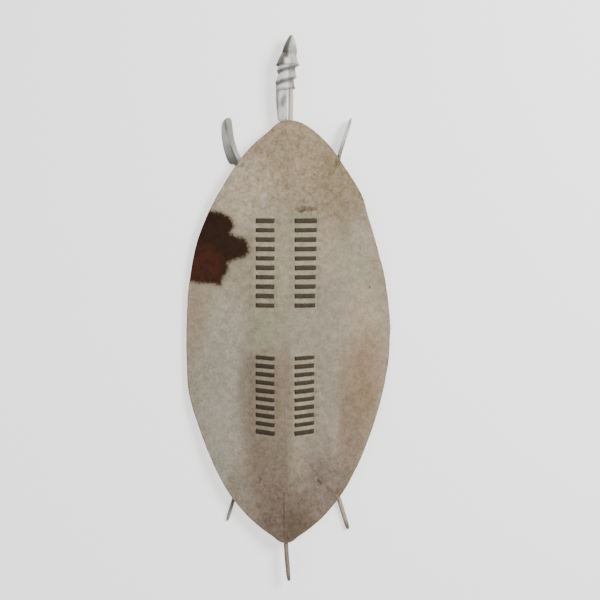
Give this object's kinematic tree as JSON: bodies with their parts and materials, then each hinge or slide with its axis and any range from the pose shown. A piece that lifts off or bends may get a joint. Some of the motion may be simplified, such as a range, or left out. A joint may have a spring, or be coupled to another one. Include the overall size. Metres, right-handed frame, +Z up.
{
  "type": "hide shield",
  "caption": "Long pointed-oval cowhide shield lying on its back, laced with hide strips to a central stick, with a fur-wound top and two crossed short spears lashed behind it.",
  "frame": {"origin": "Middle of the whole part in plan, on the plane it lies on", "axes": "+Z up out of the front of the hide, +Y along the shield towards the fur-wound end, +X to the right as the front is seen with the fur at the top"},
  "size_m": [0.4853, 1.2939, 0.0521],
  "materials": {
    "cowhide": "haired cowhide, warm grey with a dark brown patch at the left edge",
    "dark_hide": "dark brown haired hide strips",
    "stick_wood": "peeled stick, dry and grey-brown",
    "shaft_wood": "pale whittled wood, darkened at the end",
    "dark_shaft_wood": "dark whittled wood",
    "pale_fur": "pale soft fur with grey shading",
    "forged_steel": "hand-forged grey steel",
    "thong": "twisted rawhide thong"
  },
  "bodies": {
    "root": {"hide": "cowhide", "stick": "stick_wood", "fur_wrap": "pale_fur", "spear_shaft_left": "shaft_wood", "spear_shaft_right": "dark_shaft_wood", "spear_blade_left": "forged_steel", "spear_blade_right": "forged_steel", "lashing": "thong", "lacing_upper_01": "dark_hide", "lacing_upper_02": "dark_hide", "lacing_upper_03": "dark_hide", "lacing_upper_04": "dark_hide", "lacing_upper_05": "dark_hide", "lacing_upper_06": "dark_hide", "lacing_upper_07": "dark_hide", "lacing_upper_08": "dark_hide", "lacing_upper_09": "dark_hide", "lacing_upper_10": "dark_hide", "lacing_lower_01": "dark_hide", "lacing_lower_02": "dark_hide", "lacing_lower_03": "dark_hide", "lacing_lower_04": "dark_hide", "lacing_lower_05": "dark_hide", "lacing_lower_06": "dark_hide", "lacing_lower_07": "dark_hide", "lacing_lower_08": "dark_hide", "lacing_lower_09": "dark_hide", "lacing_lower_10": "dark_hide"}
  },
  "joints": []
}
